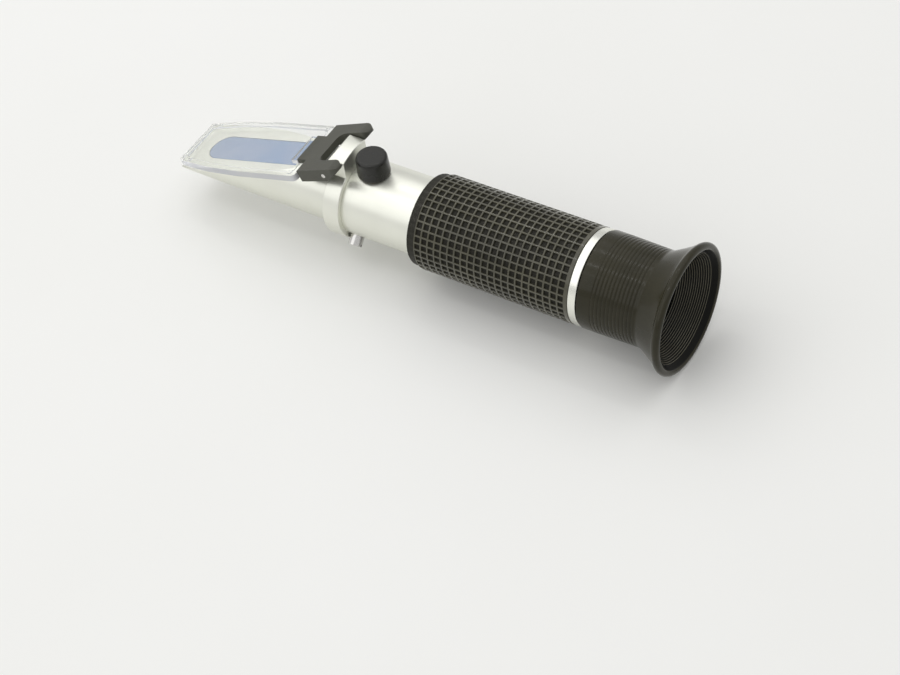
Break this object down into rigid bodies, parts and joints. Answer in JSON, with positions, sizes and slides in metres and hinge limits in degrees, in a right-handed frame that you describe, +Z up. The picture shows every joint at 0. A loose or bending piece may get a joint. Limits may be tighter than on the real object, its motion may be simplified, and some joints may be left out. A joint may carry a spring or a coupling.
{
  "type": "handheld brix refractometer",
  "caption": "Handheld optical refractometer: wedge prism head with hinged daylight plate, capped zero screw, rubber grip and a focusing eyepiece with a flared rubber eyecup.",
  "frame": {"origin": "centre of the bounding box's lower face: on the surface that the eyecup's rim stands on, midway between the plate's tip and the rim", "axes": "+X along the optical axis from the prism's tip to the eyecup, +Z up with the daylight plate and the rubber cap on top, +Y across"},
  "size_m": [0.1588, 0.036, 0.0362],
  "materials": {
    "satin_metal": "satin plated, fine turning marks",
    "bright_steel": "bright",
    "black_rubber": "matt, waffle pattern on the grip and fine ribs on the eyecup",
    "black_plastic": "matt moulded",
    "clear_acrylic": "clear, polished",
    "prism_glass": "polished face, pale blue",
    "lens_glass": "polished",
    "black_aluminium": "black anodised, matt",
    "brass": "turned",
    "cement": "cured, matt"
  },
  "bodies": {
    "barrel": {"prism_housing": "satin_metal", "main_tube": "satin_metal", "trim_ring": "satin_metal", "main_prism": "prism_glass", "prism_cement": "cement", "housing_seal": "black_rubber", "side_screw": "bright_steel", "rubber_grip": "black_rubber", "calibration_bush": "brass", "strip_clamp": "black_aluminium", "clamp_screw": "bright_steel", "light_stop": "black_aluminium", "reticle_cell": "black_aluminium", "reticle": "lens_glass", "reticle_retainer": "brass", "focus_circlip": "bright_steel"},
    "daylight_flap": {"daylight_plate": "clear_acrylic", "plate_bracket": "black_plastic", "hinge_pin": "bright_steel"},
    "rubber_cap": {"calibration_cap": "black_rubber"},
    "zero_screw": {"calibration_screw": "bright_steel"},
    "compensator": {"bimetal_strip": "brass", "objective_cell": "black_aluminium", "objective_lens": "lens_glass"},
    "eyepiece_ring": {"focus_ring": "black_plastic", "eyecup": "black_rubber"},
    "ocular": {"lens_carrier": "black_aluminium", "field_lens": "lens_glass", "lens_spacer": "black_aluminium", "eye_lens": "lens_glass", "eye_lens_retainer": "black_aluminium", "guide_screw": "bright_steel"}
  },
  "joints": [
    {"name": "plate_hinge", "type": "hinge", "parent": "barrel", "child": "daylight_flap", "pos_m": [-0.0248, 0, 0.03236], "axis": [0, 1, 0], "range_deg": [0, 80]},
    {"name": "cap_pull", "type": "slide", "parent": "barrel", "child": "rubber_cap", "axis": [0, 0, 1], "range_m": [0, 0.012]},
    {"name": "zero_turn", "type": "hinge", "parent": "barrel", "child": "zero_screw", "pos_m": [-0.01535, 0, 0.03001], "axis": [0, 0, 1], "range_deg": [0, 720]},
    {"name": "compensator_tilt", "type": "hinge", "parent": "barrel", "child": "compensator", "pos_m": [0.01055, 0, 0.02521], "axis": [0, -1, 0], "range_deg": [0, 1.6], "stiffness_Nm_per_rad": 0.01},
    {"name": "focus_turn", "type": "hinge", "parent": "barrel", "child": "eyepiece_ring", "pos_m": [0.06095, 0, 0.01801], "axis": [1, 0, 0], "range_deg": [-150, 150]},
    {"name": "focus_slide", "type": "slide", "parent": "barrel", "child": "ocular", "axis": [1, 0, 0], "range_m": [-0.0016, 0.0016]}
  ],
  "couplings": [
    {"joint": "compensator_tilt", "follows": "zero_turn", "ratio": 0.00214},
    {"joint": "focus_slide", "follows": "focus_turn", "m_per_rad": 0.0006}
  ]
}
